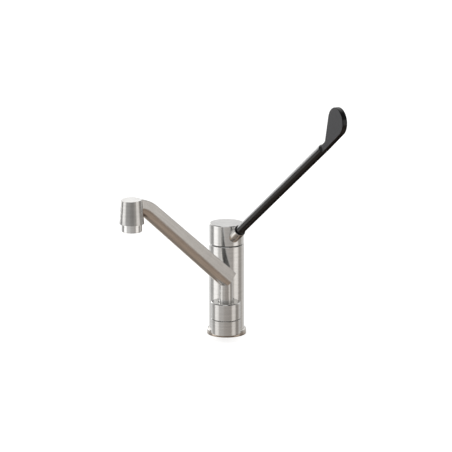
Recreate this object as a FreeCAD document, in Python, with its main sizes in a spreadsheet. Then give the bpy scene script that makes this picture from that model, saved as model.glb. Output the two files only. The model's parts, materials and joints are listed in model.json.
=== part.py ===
import FreeCAD, Part
import math
import os
import Sketcher
from types import SimpleNamespace

# An elbow-operated mixer tap. The origin is the centre of the flange's underside, on the
# column's axis, with +Z up and the spout barrel towards -Y. The spout is stored swivelled to
# the left of the front and the lever turned to the right of it.

DOC = FreeCAD.newDocument("ElbowMixer")

# Driving dimensions, in millimetres and degrees
SIZES = {
    # clearances
    "running_gap": 0.08,
    "seat_gap": 0.05,
    "part_gap": 0.3,
    # base flange and gasket
    "flange_wall": 2.8,
    "flange_height": 7.3,
    "flange_floor": 3.0,
    "flange_hole_radius": 17.0,
    "flange_rounding": 1.8,
    "gasket_inner_radius": 19.0,
    "gasket_outer_radius": 23.0,
    "gasket_thickness": 1.6,
    # column body
    "column_wall": 5.0,
    "column_height": 118.0,
    "column_bevel": 0.4,
    "inlet_radius": 5.0,
    "inlet_depth": 12.0,
    "inlet_angle": 35.2,
    "stud_hole_radius": 4.0,
    "stud_hole_depth": 12.0,
    "port_wall": 0.7,
    "outlet_wall": 2.1,
    "waterway_radius": 3.8,
    "nut_depth": 9.0,
    "cartridge_height": 36.0,
    "cartridge_radius": 17.1,
    "cartridge_bore_gap": 0.2,
    # barrel in front of the column
    "arm_clearance": 5.0,
    "barrel_radius": 19.1,
    "barrel_lift": 2.7,
    "socket_height": 19.8,
    "collar_height": 21.9,
    "barrel_edge": 0.9,
    "seam_gap": 0.8,
    "collar_gap": 0.5,
    "cross_drop": 8.3,
    "spigot_radius": 8.0,
    "spigot_foot_radius": 10.4,
    "spigot_foot_depth": 16.0,
    "spigot_bore_radius": 4.8,
    "spigot_length": 16.8,
    "seal_thickness": 1.6,
    "seal_start": 4.8,
    "seal_pitch": 5.0,
    "seal_bevel": 0.5,
    "ring_drop": 2.4,
    "ring_thickness": 1.3,
    "ring_reach": 1.0,
    "glide_inner_radius": 11.0,
    "glide_outer_radius": 16.5,
    # spout: riser post, arm and outlet head
    "post_radius": 9.0,
    "post_gap": 1.0,
    "post_rise": 38.5,
    "channel_radius": 5.5,
    "channel_depth": 10.5,
    "arm_half_width": 10.0,
    "arm_back": 9.4,
    "arm_slope": 39.9,
    "arm_foot_depth": 23.5,
    "arm_head_depth": 20.0,
    "arm_belly_flat": 0.15,
    "arm_edge": 0.8,
    "bend_radius": 55.0,
    "spout_reach": 155.5,
    "crest_offset": 1.7,
    "head_height": 32.2,
    "head_drop": 1.5,
    "head_fall": 3.0,
    "head_top_radius": 13.2,
    "head_bottom_radius": 15.6,
    # aerator
    "aerator_radius": 13.0,
    "aerator_height": 10.1,
    "aerator_thread_radius": 11.5,
    "aerator_bore_radius": 10.0,
    "aerator_lip": 1.1,
    "aerator_groove_rise": 7.1,
    "aerator_groove": 0.5,
    "thread_depth": 8.6,
    "aerator_gasket_thickness": 1.6,
    "jet_radius": 0.9,
    "jet_ring": 3.4,
    "jet_outer_ring": 7.0,
    # lever cap
    "cap_inset": 0.4,
    "cap_wall": 2.0,
    "cap_height": 26.7,
    "cap_roof": 3.5,
    "cap_seam": 1.4,
    "cap_bevel": 0.8,
    "hub_radius": 7.5,
    "hub_length": 16.6,
    "relief_start": 3.5,
    "relief_angle": 14.5,
    "grub_radius": 2.5,
    "grub_rise": 7.0,
    "grub_length": 8.0,
    # lever: socket, bush, stud, rod and paddle
    "lever_rise": 35.0,
    "lever_lift": 0.1,
    "socket_radius": 7.8,
    "socket_bore_radius": 6.6,
    "socket_inset": 2.6,
    "socket_floor": 3.5,
    "socket_length": 24.5,
    "bush_recess": 0.9,
    "rod_radius": 5.75,
    "rod_end_radius": 5.95,
    "rod_length": 280.5,
    "rod_nose": 3.0,
    "rod_shoulder": 0.5,
    "stud_radius": 4.0,
    "stud_engagement": 12.0,
    "paddle_thickness": 7.0,
    "paddle_radius": 17.6,
    "paddle_reach": 47.6,
    "paddle_rise": 13.1,
    "paddle_neck": 11.0,
    "paddle_neck_top": 3.9,
    "paddle_neck_blend": 6.0,
    "paddle_heel": 2.0,
    "paddle_heel_drop": 5.4,
    "paddle_root": 13.0,
    "paddle_edge": 1.2,
    # cartridge
    "cartridge_base_height": 5.0,
    "port_seal_radius": 6.0,
    "port_seal_thickness": 1.4,
    "port_radius": 3.6,
    "shell_wall": 1.5,
    "shell_roof": 3.5,
    "neck_radius": 10.7,
    "neck_rise": 9.5,
    "disc_offset": 3.0,
    "disc_play": 1.6,
    "disc_thickness": 4.0,
    "disc_recess_radius": 6.5,
    "disc_recess_depth": 2.0,
    "disc_carrier_height": 5.5,
    "disc_carrier_web": 2.0,
    "stem_carrier_gap": 1.0,
    "tongue_width": 6.0,
    "tongue_play": 0.8,
    "stem_width": 8.0,
    "shoulder_rise": 1.45,
    "stem_length": 27.0,
    "pivot_rise": 4.0,
    "pin_radius": 1.5,
    "pin_length": 18.0,
    "stem_swing": 5.6,
    "nut_overhang": 0.9,
    "nut_play": 0.6,
    "nut_drop": 0.2,
    "hex_gap": 0.6,
    "hex_height": 3.2,
    "trim_wall": 1.3,
    "trim_gap": 1.4,
    "trim_height": 3.3,
    # where the moving parts stand in the stored pose
    "spout_turn": 48.0,
    "lever_turn": 30.0,
}


class Size:
    """A dimension that keeps its value together with the sheet expression that gives it."""

    def __init__(self, value, text):
        self.value = float(value)
        self.text = text

    def __float__(self):
        return self.value

    def __add__(self, other):
        other = size(other)
        return Size(self.value + other.value, f"({self.text} + {other.text})")

    def __radd__(self, other):
        return size(other) + self

    def __sub__(self, other):
        other = size(other)
        return Size(self.value - other.value, f"({self.text} - {other.text})")

    def __rsub__(self, other):
        return size(other) - self

    def __mul__(self, other):
        other = size(other)
        return Size(self.value * other.value, f"({self.text} * {other.text})")

    def __rmul__(self, other):
        return size(other) * self

    def __truediv__(self, other):
        other = size(other)
        return Size(self.value / other.value, f"({self.text} / {other.text})")

    def __neg__(self):
        return size(0) - self


def size(value):
    return value if isinstance(value, Size) else Size(value, repr(float(value)))


def sine(angle):
    return Size(math.sin(math.radians(angle.value)), f"sin({angle.text} * 1 deg)")


def cosine(angle):
    return Size(math.cos(math.radians(angle.value)), f"cos({angle.text} * 1 deg)")


def tangent(angle):
    return Size(math.tan(math.radians(angle.value)), f"tan({angle.text} * 1 deg)")


sheet = DOC.addObject("Spreadsheet::Sheet", "Sizes")
for row, (name, value) in enumerate(SIZES.items(), start=1):
    sheet.set(f"A{row}", name)
    sheet.set(f"B{row}", str(value))
    sheet.setAlias(f"B{row}", name)
DOC.recompute()
d = SimpleNamespace(**{name: Size(value, "Sizes." + name) for name, value in SIZES.items()})

# Radii that follow from those sizes, from the cartridge outwards
nut_radius = d.cartridge_radius + d.nut_overhang
column_radius = nut_radius + d.column_wall
flange_radius = column_radius + d.flange_wall
cap_radius = column_radius - d.cap_inset
trim_outer = cap_radius - d.cap_wall - d.trim_gap
trim_inner = trim_outer - d.trim_wall
barrel_offset = column_radius + d.arm_half_width + d.arm_clearance
socket_start = cap_radius - d.socket_inset
port_circle = d.cartridge_radius - d.port_seal_radius - d.port_wall
inlet_x = port_circle * cosine(d.inlet_angle)
inlet_y = port_circle * sine(d.inlet_angle)
outlet_y = -(d.cartridge_radius - d.port_seal_radius - d.outlet_wall)

# Heights above the worktop: first the column and its cartridge
column_top = d.flange_floor + d.column_height
cartridge_top = column_top - d.nut_depth
cartridge_seat = cartridge_top - d.cartridge_height
pivot_height = cartridge_top + d.pivot_rise
cap_bottom = column_top + d.cap_seam
cap_top = cap_bottom + d.cap_height
cap_ceiling = cap_top - d.cap_roof
hub_bottom = cap_ceiling - d.hub_length
stem_top = pivot_height + d.stem_length
grub_height = hub_bottom + d.grub_rise
neck_top = cartridge_top + d.neck_rise

# Then the barrel in front of it, and the spout
barrel_bottom = d.flange_height + d.barrel_lift
socket_top = barrel_bottom + d.socket_height
collar_bottom = socket_top + d.seam_gap
barrel_top = collar_bottom + d.collar_height
cross_height = socket_top - d.cross_drop
spigot_top = socket_top + d.spigot_length
lower_seal = socket_top + d.seal_start
upper_seal = lower_seal + d.seal_pitch
ring_height = spigot_top - d.ring_drop
post_seat = spigot_top + d.post_gap
arm_foot = barrel_top + d.post_rise
crest_reach = d.spout_reach + d.crest_offset
bend_reach = crest_reach - d.bend_radius * sine(d.arm_slope)
bend_height = arm_foot + tangent(d.arm_slope) * (bend_reach + d.arm_back)
head_top = bend_height + d.bend_radius * (1 - cosine(d.arm_slope))
head_bottom = head_top - d.head_height
aerator_bottom = head_bottom - d.aerator_height

# Along the lever, measured from where its line meets the column's axis
lever_height = column_top + d.lever_lift
rod_start = socket_start + d.socket_floor
rod_end = rod_start + d.rod_length
paddle_root = rod_end - d.paddle_root
paddle_heel = rod_end + d.paddle_heel
paddle_neck = rod_end + d.paddle_neck
paddle_centre = rod_end + d.paddle_reach

UP = FreeCAD.Vector(0, 0, 1)
SIDE = FreeCAD.Vector(0, 1, 0)


def placed(x=0.0, y=0.0, z=0.0, axis=UP, angle=0.0):
    """A placement in a frame: a turn about one axis, then a move."""
    base = FreeCAD.Vector(float(x), float(y), float(z))
    return FreeCAD.Placement(base, FreeCAD.Rotation(axis, float(angle)))


# The frames that the pieces are drawn in: X points along the spout, or along the lever
COLUMN = placed()
BARREL = placed(y=-barrel_offset)
SPOUT = placed(y=-barrel_offset, angle=270 - d.spout_turn)
LEVER = placed(angle=270 + d.lever_turn)
# Z runs along the sloping lever in the first of these, and X in the second
LEVER_TURNED = LEVER * placed(z=lever_height, axis=SIDE, angle=90 - d.lever_rise)
LEVER_FLAT = LEVER * placed(z=lever_height, axis=SIDE, angle=-d.lever_rise)


def bind(item, **values):
    for name, value in values.items():
        item.setExpression(name, size(value).text)
    return item


def origin_plane(body, role):
    for feature in body.Origin.OriginFeatures:
        if feature.Role == role:
            return feature
    raise RuntimeError(f"{body.Label} has no {role}")


def pin_point(sketch, geometry, point, x, y):
    """Holds one end of a line or arc at its place from the sketch's origin."""
    for kind, axis, value in (("DistanceX", -2, size(x)), ("DistanceY", -1, size(y))):
        if value.text == "0.0":
            sketch.addConstraint(Sketcher.Constraint("PointOnObject", geometry, point, axis))
        else:
            held = Sketcher.Constraint(kind, -1, 1, geometry, point, value.value)
            sketch.setExpression(f"Constraints[{sketch.addConstraint(held)}]", value.text)


def new_sketch(body, name, role):
    sketch = body.newObject("Sketcher::SketchObject", name)
    sketch.AttachmentSupport = [(origin_plane(body, role), "")]
    sketch.MapMode = "FlatFace"
    return sketch


def join_ends(sketch, count):
    for i in range(count):
        sketch.addConstraint(Sketcher.Constraint("Coincident", i, 2, (i + 1) % count, 1))


def outline(body, name, role, corners):
    """A closed outline of straight edges, with each corner held by two dimensions."""
    sketch = new_sketch(body, name, role)
    points = [FreeCAD.Vector(float(x), float(y), 0) for x, y in corners]
    for start, end in zip(points, points[1:] + points[:1]):
        sketch.addGeometry(Part.LineSegment(start, end))
    join_ends(sketch, len(points))
    for i, (x, y) in enumerate(corners):
        pin_point(sketch, i, 1, x, y)
    return sketch


def turned(name, corners, frame=COLUMN):
    """A piece turned about Z from its half section, given as radius and height."""
    body = DOC.addObject("PartDesign::Body", name)
    sketch = outline(body, name + "_section", "XZ_Plane", corners)
    turn = body.newObject("PartDesign::Revolution", name + "_turning")
    turn.Profile = sketch
    turn.ReferenceAxis = (sketch, ["V_Axis"])
    turn.Angle = 360
    body.Placement = frame
    DOC.recompute()
    return body


def circle_edges(shape, rims):
    """The names of the circular edges with these radii and heights."""
    names = []
    for number, edge in enumerate(shape.Edges, start=1):
        if not isinstance(edge.Curve, Part.Circle):
            continue
        for radius, height in rims:
            near_radius = abs(edge.Curve.Radius - float(radius)) < 1e-4
            if near_radius and abs(edge.Curve.Center.z - float(height)) < 1e-4:
                names.append(f"Edge{number}")
    return names


def round_rims(body, radius, rims):
    base = body.Tip
    fillet = body.newObject("PartDesign::Fillet", body.Name + "_rounding")
    names = circle_edges(base.Shape, rims)
    if len(names) < len(rims):
        raise RuntimeError(f"{body.Label} lacks a rim to round")
    fillet.Base = (base, names)
    bind(fillet, Radius=radius)
    DOC.recompute()
    return body


def cylinder(name, radius, length, frame=COLUMN, x=0.0, y=0.0, z=0.0, axis=UP, angle=0.0):
    item = DOC.addObject("Part::Cylinder", name)
    bind(item, Radius=radius, Height=length)
    item.Placement = frame * placed(x, y, z, axis, angle)
    return item


def block(name, length, width, height, frame=COLUMN, x=0.0, z=0.0, angle=0.0, back=0.0):
    """A box centred across Y that starts at x, less back, and z, and may tip about Y."""
    item = DOC.addObject("Part::Box", name)
    bind(item, Length=length, Width=width, Height=height)
    inner = placed(x=-back, y=-size(width) / 2)
    item.Placement = frame * placed(x=x, z=z, axis=SIDE, angle=angle) * inner
    return item


def cut(name, base, *tools):
    """The base less its tools, whose volume has to shrink."""
    tool = tools[0]
    if len(tools) > 1:
        tool = DOC.addObject("Part::MultiFuse", name + "_tools")
        tool.Shapes = list(tools)
    item = DOC.addObject("Part::Cut", name)
    item.Base = base
    item.Tool = tool
    DOC.recompute()
    if not item.Shape.Volume < base.Shape.Volume - 1e-3:
        raise RuntimeError(f"{name} was not cut")
    return item


def joined(name, *pieces):
    item = DOC.addObject("Part::MultiFuse", name)
    item.Shapes = list(pieces)
    item.Refine = True
    DOC.recompute()
    return item


NODES = []


def piece(label, item):
    item.Label = label
    NODES.append(item)
    return item


# Base flange: a low rosette that the column stands in, with a groove for its gasket

def base_pieces():
    gasket_in = d.gasket_inner_radius
    gasket_out = d.gasket_outer_radius
    recess = column_radius + d.seat_gap
    flange = turned("flange", [
        (d.flange_hole_radius, 0.0),
        (gasket_in, 0.0),
        (gasket_in, d.gasket_thickness),
        (gasket_out, d.gasket_thickness),
        (gasket_out, 0.0),
        (flange_radius, 0.0),
        (flange_radius, d.flange_height),
        (recess, d.flange_height),
        (recess, d.flange_floor),
        (d.flange_hole_radius, d.flange_floor),
    ])
    round_rims(flange, d.flange_rounding, [(flange_radius, d.flange_height)])
    piece("base_flange", flange)
    gasket = turned("gasket", [
        (gasket_in + d.seat_gap, 0.0),
        (gasket_out - d.seat_gap, 0.0),
        (gasket_out - d.seat_gap, d.gasket_thickness),
        (gasket_in + d.seat_gap, d.gasket_thickness),
    ])
    piece("base_gasket", gasket)


nut_bore = nut_radius + d.seat_gap
cartridge_bore = d.cartridge_radius + d.cartridge_bore_gap
PORTS = [
    ("outlet", size(0.0), outlet_y),
    ("hot", -inlet_x, inlet_y),
    ("cold", inlet_x, inlet_y),
]


def cross_waterway(name):
    """The level bore from under the column's outlet port to the spigot's foot."""
    length = barrel_offset + outlet_y
    back = FreeCAD.Vector(1, 0, 0)
    return cylinder(name, d.waterway_radius, length, y=outlet_y, z=cross_height,
                    axis=back, angle=90)


# Column body: turned outside, bored for the cartridge, drilled for the waterways and
# scooped out in front where the swivel collar turns

def column_piece():
    section = turned("column_turning", [
        (0.0, d.flange_floor),
        (column_radius, d.flange_floor),
        (column_radius, column_top - d.column_bevel),
        (column_radius - d.column_bevel, column_top),
        (nut_bore, column_top),
        (nut_bore, cartridge_top),
        (cartridge_bore, cartridge_top),
        (cartridge_bore, cartridge_seat),
        (0.0, cartridge_seat),
    ])
    tools = [cylinder("collar_recess", d.barrel_radius + d.collar_gap,
                      barrel_top + d.collar_gap - socket_top, BARREL, z=socket_top)]
    for name, x, y in PORTS:
        start = cross_height if name == "outlet" else d.flange_floor
        tools.append(cylinder(f"{name}_waterway", d.waterway_radius,
                              cartridge_seat - start, x=x, y=y, z=start))
        if name != "outlet":
            tools.append(cylinder(f"{name}_thread", d.inlet_radius, d.inlet_depth,
                                  x=x, y=y, z=d.flange_floor))
    tools.append(cylinder("stud_thread", d.stud_hole_radius, d.stud_hole_depth,
                          y=outlet_y, z=d.flange_floor))
    tools.append(cross_waterway("column_cross_waterway"))
    piece("column_body", cut("column", section, *tools))


# Barrel in front of the column: a fixed socket below, a turning collar above, and the
# spigot, seals, rings and glide ring that carry one on the other

def barrel_pieces():
    edge = d.barrel_edge
    foot_bore = d.spigot_foot_radius + d.seat_gap
    foot_bottom = socket_top - d.spigot_foot_depth
    section = turned("socket_turning", [
        (0.0, barrel_bottom),
        (d.barrel_radius - edge, barrel_bottom),
        (d.barrel_radius, barrel_bottom + edge),
        (d.barrel_radius, socket_top - d.seam_gap / 4),
        (d.barrel_radius - d.seam_gap / 4, socket_top),
        (foot_bore, socket_top),
        (foot_bore, foot_bottom),
        (0.0, foot_bottom),
    ], BARREL)
    back = cylinder("socket_back", column_radius + d.seat_gap, barrel_top)
    piece("spout_socket", cut("socket", section, back, cross_waterway("socket_waterway")))

    groove = d.spigot_radius - d.seal_thickness
    half_seal = d.seal_thickness / 2
    half_ring = d.ring_thickness / 2
    corners = [
        (d.spigot_bore_radius, foot_bottom + d.waterway_radius / 2),
        (0.0, foot_bottom + d.waterway_radius / 2),
        (0.0, foot_bottom),
        (d.spigot_foot_radius, foot_bottom),
        (d.spigot_foot_radius, socket_top),
        (d.spigot_radius, socket_top),
    ]
    for height, half, depth in (
        (lower_seal, half_seal + d.seat_gap, groove),
        (upper_seal, half_seal + d.seat_gap, groove),
        (ring_height, half_ring + d.seat_gap, d.spigot_radius - d.ring_reach),
    ):
        corners += [
            (d.spigot_radius, height - half),
            (depth, height - half),
            (depth, height + half),
            (d.spigot_radius, height + half),
        ]
    corners += [(d.spigot_radius, spigot_top), (d.spigot_bore_radius, spigot_top)]
    spigot = turned("spigot_turning", corners, BARREL)
    piece("swivel_spigot", cut("spigot", spigot, cross_waterway("spigot_waterway")))

    seal_in = groove + d.seat_gap
    seal_out = d.spigot_radius
    bevel = d.seal_bevel
    for label, height in (("lower", lower_seal), ("upper", upper_seal)):
        piece(f"swivel_seal_{label}", turned(f"{label}_seal", [
            (seal_in + bevel, height - half_seal),
            (seal_out - bevel, height - half_seal),
            (seal_out, height - half_seal + bevel),
            (seal_out, height + half_seal - bevel),
            (seal_out - bevel, height + half_seal),
            (seal_in + bevel, height + half_seal),
            (seal_in, height + half_seal - bevel),
            (seal_in, height - half_seal + bevel),
        ], BARREL))

    ring_inner = d.spigot_radius - d.ring_reach + d.seat_gap
    ring_outer = d.spigot_radius + d.ring_reach
    piece("swivel_retaining_ring", turned("retaining_ring", [
        (ring_inner, ring_height - half_ring),
        (ring_outer, ring_height - half_ring),
        (ring_outer, ring_height + half_ring),
        (ring_inner, ring_height + half_ring),
    ], BARREL))
    piece("swivel_glide_ring", turned("glide_ring", [
        (d.glide_inner_radius, socket_top),
        (d.glide_outer_radius, socket_top),
        (d.glide_outer_radius, collar_bottom - d.seat_gap),
        (d.glide_inner_radius, collar_bottom - d.seat_gap),
    ], BARREL))

    bore = d.spigot_radius + d.running_gap
    ring_bore = ring_outer + d.running_gap
    ring_room = half_ring + d.running_gap
    post_bore = d.post_radius + d.seat_gap
    collar = turned("collar", [
        (bore, collar_bottom),
        (d.barrel_radius - d.seam_gap / 4, collar_bottom),
        (d.barrel_radius, collar_bottom + d.seam_gap / 4),
        (d.barrel_radius, barrel_top - edge),
        (d.barrel_radius - edge, barrel_top),
        (post_bore + edge, barrel_top),
        (post_bore, barrel_top - edge),
        (post_bore, post_seat),
        (bore, post_seat),
        (bore, ring_height + ring_room),
        (ring_bore, ring_height + ring_room),
        (ring_bore, ring_height - ring_room),
        (bore, ring_height - ring_room),
    ], BARREL * placed(angle=270 - d.spout_turn))
    piece("swivel_collar", collar)


# Spout. Its side view is drawn first: a straight rise and one bend that ends level over the
# outlet head, deeper at the foot than at the head. The underside is rounded from side to side

def arm_side_view():
    """The corners of the arm's side view, from the top of the foot and round by the head."""
    run = cosine(d.arm_slope)
    rise = sine(d.arm_slope)
    bend = (bend_reach, bend_height)
    crest = (crest_reach, head_top)
    low_crest = (crest_reach, head_top - d.arm_head_depth)
    low_bend = (bend[0] + rise * d.arm_head_depth, bend[1] - run * d.arm_head_depth)
    foot = (-d.arm_back, arm_foot)
    low_foot = (foot[0] + rise * d.arm_foot_depth, foot[1] - run * d.arm_foot_depth)
    return [foot, bend, crest, low_crest, low_bend, low_foot]


def side_pad(name, corners, arcs, half_width):
    """A body padded from a side view. An edge named in arcs bends from the slope to level."""
    body = DOC.addObject("PartDesign::Body", name)
    sketch = new_sketch(body, name + "_side_view", "XZ_Plane")
    flat = [FreeCAD.Vector(float(x), float(z), 0) for x, z in corners]
    ends = []
    for i, start in enumerate(flat):
        end = flat[(i + 1) % len(flat)]
        if i in arcs:
            crest = end if end.y > start.y else start
            ring = Part.Circle(crest - SIDE * arcs[i].value, UP, arcs[i].value)
            level = math.pi / 2
            steep = level + math.radians(d.arm_slope.value)
            sketch.addGeometry(Part.ArcOfCircle(ring, level, steep))
            # an arc runs anticlockwise, so its first point is its level end
            ends.append((2, 1) if crest is end else (1, 2))
        else:
            sketch.addGeometry(Part.LineSegment(start, end))
            ends.append((1, 2))
    for i, (first, last) in enumerate(ends):
        following = (i + 1) % len(ends)
        joint = Sketcher.Constraint("Coincident", i, last, following, ends[following][0])
        sketch.addConstraint(joint)
    for i, (x, z) in enumerate(corners):
        pin_point(sketch, i, ends[i][0], x, z)
    for i, radius in arcs.items():
        held = sketch.addConstraint(Sketcher.Constraint("Radius", i, radius.value))
        sketch.setExpression(f"Constraints[{held}]", radius.text)
    pad = body.newObject("PartDesign::Pad", name + "_width")
    pad.Profile = sketch
    pad.Midplane = True
    bind(pad, Length=half_width * 2)
    DOC.recompute()
    return body


def long_edges(shape, half_width, points):
    """The edges on both side faces whose two ends are among these side-view points."""
    names = []
    for number, edge in enumerate(shape.Edges, start=1):
        ends = [vertex.Point for vertex in edge.Vertexes]
        if len(ends) < 2 or min(abs(p.y) for p in ends) < float(half_width) - 1e-4:
            continue
        if ends[0].y * ends[1].y < 0:
            continue
        hits = [any(abs(p.x - float(x)) < 1e-3 and abs(p.z - float(z)) < 1e-3
                    for x, z in points) for p in ends]
        if all(hits):
            names.append(f"Edge{number}")
    return names


def spout_piece():
    corners = arm_side_view()
    bend, crest = corners[1:3]
    low_radius = d.bend_radius - d.arm_head_depth
    arm = side_pad("arm", corners, {1: d.bend_radius, 3: low_radius}, d.arm_half_width)
    for name, radius, points in (
        ("arm_belly", d.arm_half_width - d.arm_belly_flat, corners[3:]),
        ("arm_top_edges", d.arm_edge, corners[:3]),
    ):
        base = arm.Tip
        fillet = arm.newObject("PartDesign::Fillet", name)
        fillet.Base = (base, long_edges(base.Shape, d.arm_half_width, points))
        bind(fillet, Radius=radius)
        DOC.recompute()
    arm.Placement = SPOUT

    far = d.spout_reach
    post_tall = cylinder("post_tall", d.post_radius, arm_foot - post_seat + far / 4,
                         SPOUT, z=post_seat)
    over_post = block("over_post", far, far, far, SPOUT, x=-d.arm_back,
                      z=arm_foot - d.arm_edge * 2, angle=-d.arm_slope, back=far / 2)
    post = cut("post", post_tall, over_post)

    # the head follows the arm's bend, so that the two are flush, and then its top falls gently
    # towards the front
    head_tall = DOC.addObject("Part::Cone", "head_tall")
    bind(head_tall, Radius1=d.head_bottom_radius, Radius2=d.head_top_radius, Height=d.head_height)
    head_tall.Placement = SPOUT * placed(x=far, z=head_bottom)
    wide = d.head_bottom_radius * 2
    limit = side_pad("head_limit", [
        bend,
        crest,
        (crest_reach + wide, head_top),
        (crest_reach + wide, head_bottom),
        (bend[0], head_bottom),
    ], {0: d.bend_radius}, wide)
    limit.Placement = SPOUT
    head = DOC.addObject("Part::Common", "head")
    head.Base = head_tall
    head.Tool = limit
    DOC.recompute()
    over_head = block("over_head", far, wide * 2, far, SPOUT, x=far,
                      z=head_top - d.head_drop, angle=d.head_fall, back=far / 2)
    outside = cut("spout_outside", joined("spout_blank", arm, post, head), over_head)

    # the waterway: up the post, along the rise and level into the head
    half_turn = d.arm_slope / 2
    knee_x = bend_reach + (d.bend_radius + d.channel_depth) * tangent(half_turn)
    knee_z = head_top - d.channel_depth
    low_z = knee_z - tangent(d.arm_slope) * knee_x
    channel = d.channel_radius
    knee = DOC.addObject("Part::Sphere", "channel_knee")
    bind(knee, Radius=channel)
    knee.Placement = SPOUT * placed(x=knee_x, z=knee_z)
    thread_bore = d.aerator_thread_radius + d.seat_gap
    thread_room = d.thread_depth + d.aerator_gasket_thickness
    tools = [
        cylinder("post_channel", channel, low_z - post_seat, SPOUT, z=post_seat),
        cylinder("rise_channel", channel, knee_x / cosine(d.arm_slope), SPOUT, z=low_z,
                 axis=SIDE, angle=90 - d.arm_slope),
        cylinder("run_channel", channel, far - knee_x, SPOUT, x=knee_x, z=knee_z, axis=SIDE,
                 angle=90),
        knee,
        cylinder("head_thread", thread_bore, thread_room, SPOUT, x=far, z=head_bottom),
        cylinder("head_chamber", d.aerator_bore_radius - d.aerator_lip,
                 head_top - d.channel_depth - head_bottom, SPOUT, x=far, z=head_bottom),
    ]
    piece("spout_arm", cut("spout", outside, *tools))


# Aerator: a housing screwed into the head, with a gasket above it and a jet plate inside,
# which has one jet in the middle, six around it and twelve around those

def aerator_pieces():
    frame = SPOUT * placed(x=d.spout_reach)
    groove = d.aerator_groove
    groove_height = aerator_bottom + d.aerator_groove_rise
    outer = d.aerator_radius
    thread_top = head_bottom + d.thread_depth
    lip_top = aerator_bottom + d.aerator_lip
    shoulder = head_bottom - d.seat_gap
    housing = turned("aerator_housing_turning", [
        (d.aerator_bore_radius - d.aerator_lip, aerator_bottom),
        (outer - groove, aerator_bottom),
        (outer, aerator_bottom + groove),
        (outer, groove_height),
        (outer - groove, groove_height),
        (outer - groove, groove_height + groove),
        (outer, groove_height + groove),
        (outer, shoulder),
        (d.aerator_thread_radius, shoulder),
        (d.aerator_thread_radius, thread_top),
        (d.aerator_bore_radius, thread_top),
        (d.aerator_bore_radius, lip_top),
        (d.aerator_bore_radius - d.aerator_lip, lip_top),
    ], frame)
    piece("aerator_housing", housing)

    plate_top = head_bottom
    plate = cylinder("jet_plate", d.aerator_bore_radius - d.seat_gap, plate_top - lip_top,
                     frame, z=lip_top)
    jets = []
    for ring, count in ((0.0, 1), (d.jet_ring, 6), (d.jet_outer_ring, 12)):
        for i in range(count):
            turn = 360.0 * i / count
            jets.append(cylinder(f"jet_{len(jets)}", d.jet_radius, plate_top - lip_top,
                                 frame * placed(angle=turn), x=ring, z=lip_top))
    piece("aerator_insert", cut("jet_plate_drilled", plate, *jets))
    piece("aerator_gasket", turned("aerator_ring", [
        (d.aerator_bore_radius, thread_top),
        (d.aerator_thread_radius, thread_top),
        (d.aerator_thread_radius, thread_top + d.aerator_gasket_thickness),
        (d.aerator_bore_radius, thread_top + d.aerator_gasket_thickness),
    ], frame))


# Lever cap: a turned shell with a hub for the stem, a hole for the lever socket, a hole for
# the grub screw, and a slanting relief under its back so that it can tip

def cap_pieces():
    shell = turned("cap_turning", [
        (cap_radius - d.cap_wall, cap_bottom),
        (cap_radius, cap_bottom),
        (cap_radius, cap_top - d.cap_bevel),
        (cap_radius - d.cap_bevel, cap_top),
        (0.0, cap_top),
        (0.0, hub_bottom),
        (d.hub_radius, hub_bottom),
        (d.hub_radius, cap_ceiling),
        (cap_radius - d.cap_wall, cap_ceiling),
    ], LEVER)
    stem_hole = d.stem_width + d.seat_gap * 2
    wide = cap_radius * 3
    relief = block("cap_relief", wide, wide, cap_radius, LEVER, x=-d.relief_start,
                   z=cap_bottom, angle=d.relief_angle, back=wide)
    relief.Placement = relief.Placement * placed(z=-cap_radius)
    grub_inner = d.stem_width / 2 + d.seat_gap
    tools = [
        block("stem_hole", stem_hole, stem_hole, stem_top - hub_bottom + d.seat_gap,
              LEVER, z=hub_bottom, back=stem_hole / 2),
        cylinder("socket_hole", d.socket_radius + d.seat_gap, cap_radius,
                 LEVER_TURNED, z=socket_start - d.socket_floor),
        cylinder("grub_hole", d.grub_radius + d.seat_gap, cap_radius, LEVER,
                 x=-grub_inner, z=grub_height, axis=SIDE, angle=-90),
        relief,
    ]
    piece("lever_cap", cut("cap", shell, *tools))

    screw = cylinder("grub", d.grub_radius, d.grub_length, LEVER, x=-grub_inner,
                     z=grub_height, axis=SIDE, angle=-90)
    key = DOC.addObject("Part::Prism", "grub_key")
    key.Polygon = 6
    bind(key, Circumradius=d.grub_radius / 2, Height=d.grub_length / 3)
    key.Placement = LEVER * placed(x=-(grub_inner + d.grub_length * 2 / 3), z=grub_height,
                                   axis=SIDE, angle=-90)
    piece("cap_grub_screw", cut("grub_screw", screw, key))


# Lever: a bright socket in the cap, a black bush, a stud, and the rod with its flat paddle

def lever_pieces():
    start = socket_start
    end = start + d.socket_length
    bore = d.socket_bore_radius
    bevel = d.seam_gap / 2
    stud_hole = d.stud_radius + d.seat_gap
    piece("lever_socket", turned("lever_socket_turning", [
        (stud_hole, start),
        (d.socket_radius, start),
        (d.socket_radius, end - bevel),
        (d.socket_radius - bevel, end),
        (bore, end),
        (bore, rod_start),
        (stud_hole, rod_start),
    ], LEVER_TURNED))
    piece("lever_bush", turned("lever_bush_turning", [
        (d.rod_radius + d.seat_gap, rod_start),
        (bore - d.seat_gap, rod_start),
        (bore - d.seat_gap, end - d.bush_recess),
        (d.rod_radius + d.seat_gap, end - d.bush_recess),
    ], LEVER_TURNED))
    piece("lever_stud", cylinder("lever_stud_rod", d.stud_radius,
                                 d.socket_floor + d.stud_engagement, LEVER_TURNED, z=start))


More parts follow.
